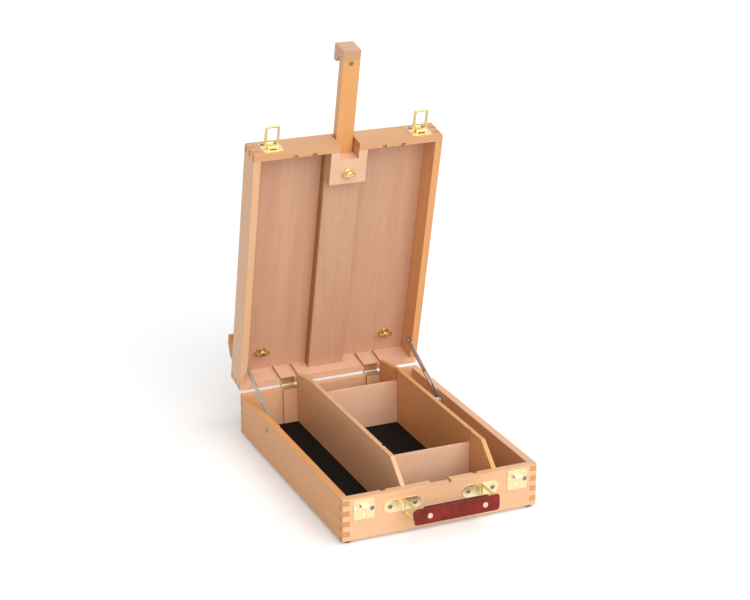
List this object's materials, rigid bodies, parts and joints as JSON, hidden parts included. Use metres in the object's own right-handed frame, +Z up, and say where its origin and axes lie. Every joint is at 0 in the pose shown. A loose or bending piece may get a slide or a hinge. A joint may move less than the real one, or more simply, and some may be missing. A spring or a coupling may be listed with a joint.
{
  "type": "pochade box",
  "caption": "Finger-jointed wooden paint box with a lid that stands open as an easel, a sliding mast with a hook, a canvas ledge and a leather handle.",
  "frame": {"origin": "centre of the base's footprint, on the plane under the feet", "axes": "+X to the right seen from the handle side, +Y towards the hinges, +Z up"},
  "size_m": [0.2732, 0.4532, 0.5582],
  "materials": {
    "wood_light": "satin",
    "wood_amber": "satin",
    "plywood": "satin",
    "brass": "polished",
    "steel": "satin",
    "leather": "satin",
    "lining": "matte",
    "feet": "matte"
  },
  "bodies": {
    "base": {"base_front": "wood_light", "base_back": "wood_light", "base_left": "wood_light", "base_right": "wood_light", "base_bottom": "plywood", "base_lining": "lining", "feet": "feet", "hinge_base_leaf_left": "brass", "hinge_base_leaf_right": "brass", "hinge_pins": "brass", "keeper_left": "brass", "keeper_right": "brass", "handle_plate_left": "brass", "handle_plate_right": "brass", "front_screws": "brass", "stay_bolt_left": "steel", "stay_bolt_right": "steel"},
    "lid": {"lid_front": "wood_light", "lid_back": "wood_light", "lid_left": "wood_light", "lid_right": "wood_light", "lid_panel": "plywood", "mast_battens": "wood_light", "mast_cover": "plywood", "clamp_block": "wood_light", "canvas_ledge": "wood_light", "ledge_studs": "brass", "hinge_lid_leaf_left": "brass", "hinge_lid_leaf_right": "brass", "latch_plate_left": "brass", "latch_plate_right": "brass", "latch_screws": "brass", "stay_pivot_left": "steel", "stay_pivot_right": "steel"},
    "mast": {"mast": "wood_amber", "mast_hook": "wood_light", "hook_screw": "brass"},
    "clamp_screw": {"clamp_screw": "brass"},
    "wing_nut_left": {"wing_nut_left": "brass"},
    "wing_nut_right": {"wing_nut_right": "brass"},
    "latch_lever_left": {"latch_lever_left": "brass"},
    "latch_lever_right": {"latch_lever_right": "brass"},
    "latch_loop_left": {"latch_loop_left": "brass"},
    "latch_loop_right": {"latch_loop_right": "brass"},
    "ring_left": {"handle_ring_left": "brass"},
    "ring_right": {"handle_ring_right": "brass"},
    "grip": {"leather_grip": "leather", "grip_rivets": "brass"},
    "stay_arm_left": {"stay_arm_left": "steel"},
    "stay_arm_right": {"stay_arm_right": "steel"},
    "stay_nut_left": {"stay_nut_left": "steel"},
    "stay_nut_right": {"stay_nut_right": "steel"},
    "divider_left": {"divider_left": "wood_light"},
    "divider_right": {"divider_right": "wood_light"},
    "cross_board_front": {"cross_board_front": "wood_light"},
    "cross_board_rear": {"cross_board_rear": "wood_light"}
  },
  "joints": [
    {"name": "lid_hinge", "type": "hinge", "parent": "base", "child": "lid", "pos_m": [0, 0.1876, 0.0612], "axis": [-1, 0, 0], "range_deg": [-77, 15]},
    {"name": "mast_slide", "type": "slide", "parent": "lid", "child": "mast", "axis": [0, -0.225, 0.9744], "range_m": [-0.102, 0.138]},
    {"name": "clamp_turn", "type": "hinge", "parent": "lid", "child": "clamp_screw", "pos_m": [0, 0.11343, 0.38337], "axis": [0, 0.9744, 0.225], "continuous": true},
    {"name": "wing_nut_left_turn", "type": "hinge", "parent": "lid", "child": "wing_nut_left", "pos_m": [-0.094, 0.20939, 0.10995], "axis": [0, 0.9744, 0.225], "continuous": true},
    {"name": "wing_nut_right_turn", "type": "hinge", "parent": "lid", "child": "wing_nut_right", "pos_m": [0.094, 0.20939, 0.10995], "axis": [0, 0.9744, 0.225], "continuous": true},
    {"name": "latch_lever_left_turn", "type": "hinge", "parent": "lid", "child": "latch_lever_left", "pos_m": [-0.106, 0.11291, 0.43005], "axis": [1, 0, 0], "range_deg": [0, 110]},
    {"name": "latch_loop_left_turn", "type": "hinge", "parent": "latch_lever_left", "child": "latch_loop_left", "pos_m": [-0.106, 0.11787, 0.43079], "axis": [-1, 0, 0], "range_deg": [-90, 60]},
    {"name": "latch_lever_right_turn", "type": "hinge", "parent": "lid", "child": "latch_lever_right", "pos_m": [0.106, 0.11291, 0.43005], "axis": [1, 0, 0], "range_deg": [0, 110]},
    {"name": "latch_loop_right_turn", "type": "hinge", "parent": "latch_lever_right", "child": "latch_loop_right", "pos_m": [0.106, 0.11787, 0.43079], "axis": [-1, 0, 0], "range_deg": [-90, 60]},
    {"name": "handle_swing", "type": "hinge", "parent": "base", "child": "ring_left", "pos_m": [-0.054, -0.1894, 0.041], "axis": [0, 0, 1], "range_deg": [-71, 49]},
    {"name": "grip_turn", "type": "hinge", "parent": "ring_left", "child": "grip", "pos_m": [-0.04866, -0.21689, 0.037], "axis": [0, 0, 1], "range_deg": [-49, 71]},
    {"name": "ring_right_turn", "type": "hinge", "parent": "base", "child": "ring_right", "pos_m": [0.054, -0.1894, 0.041], "axis": [0, 0, 1], "range_deg": [-71, 49]},
    {"name": "stay_left_turn", "type": "hinge", "parent": "lid", "child": "stay_arm_left", "pos_m": [-0.12395, 0.18811, 0.09991], "axis": [-1, 0, 0], "range_deg": [-16, 81]},
    {"name": "stay_nut_left_slide", "type": "slide", "parent": "stay_arm_left", "child": "stay_nut_left", "axis": [0, -0.9015, -0.4328], "range_m": [-0.044, 0.009]},
    {"name": "stay_right_turn", "type": "hinge", "parent": "lid", "child": "stay_arm_right", "pos_m": [0.12395, 0.18811, 0.09991], "axis": [-1, 0, 0], "range_deg": [-16, 81]},
    {"name": "stay_nut_right_slide", "type": "slide", "parent": "stay_arm_right", "child": "stay_nut_right", "axis": [0, -0.9015, -0.4328], "range_m": [-0.044, 0.009]},
    {"name": "divider_left_lift", "type": "slide", "parent": "base", "child": "divider_left", "axis": [0, 0, 1], "range_m": [0, 0.09]},
    {"name": "divider_right_lift", "type": "slide", "parent": "base", "child": "divider_right", "axis": [0, 0, 1], "range_m": [0, 0.09]},
    {"name": "cross_board_front_lift", "type": "slide", "parent": "base", "child": "cross_board_front", "axis": [0, 0, 1], "range_m": [0, 0.08]},
    {"name": "cross_board_rear_lift", "type": "slide", "parent": "base", "child": "cross_board_rear", "axis": [0, 0, 1], "range_m": [0, 0.08]}
  ],
  "couplings": [
    {"joint": "grip_turn", "follows": "handle_swing", "ratio": -1},
    {"joint": "ring_right_turn", "follows": "handle_swing", "ratio": 1},
    {"joint": "stay_left_turn", "follows": "lid_hinge", "ratio": -1.05},
    {"joint": "stay_nut_left_slide", "follows": "lid_hinge", "m_per_rad": 0.0325},
    {"joint": "stay_right_turn", "follows": "lid_hinge", "ratio": -1.05},
    {"joint": "stay_nut_right_slide", "follows": "lid_hinge", "m_per_rad": 0.0325}
  ]
}
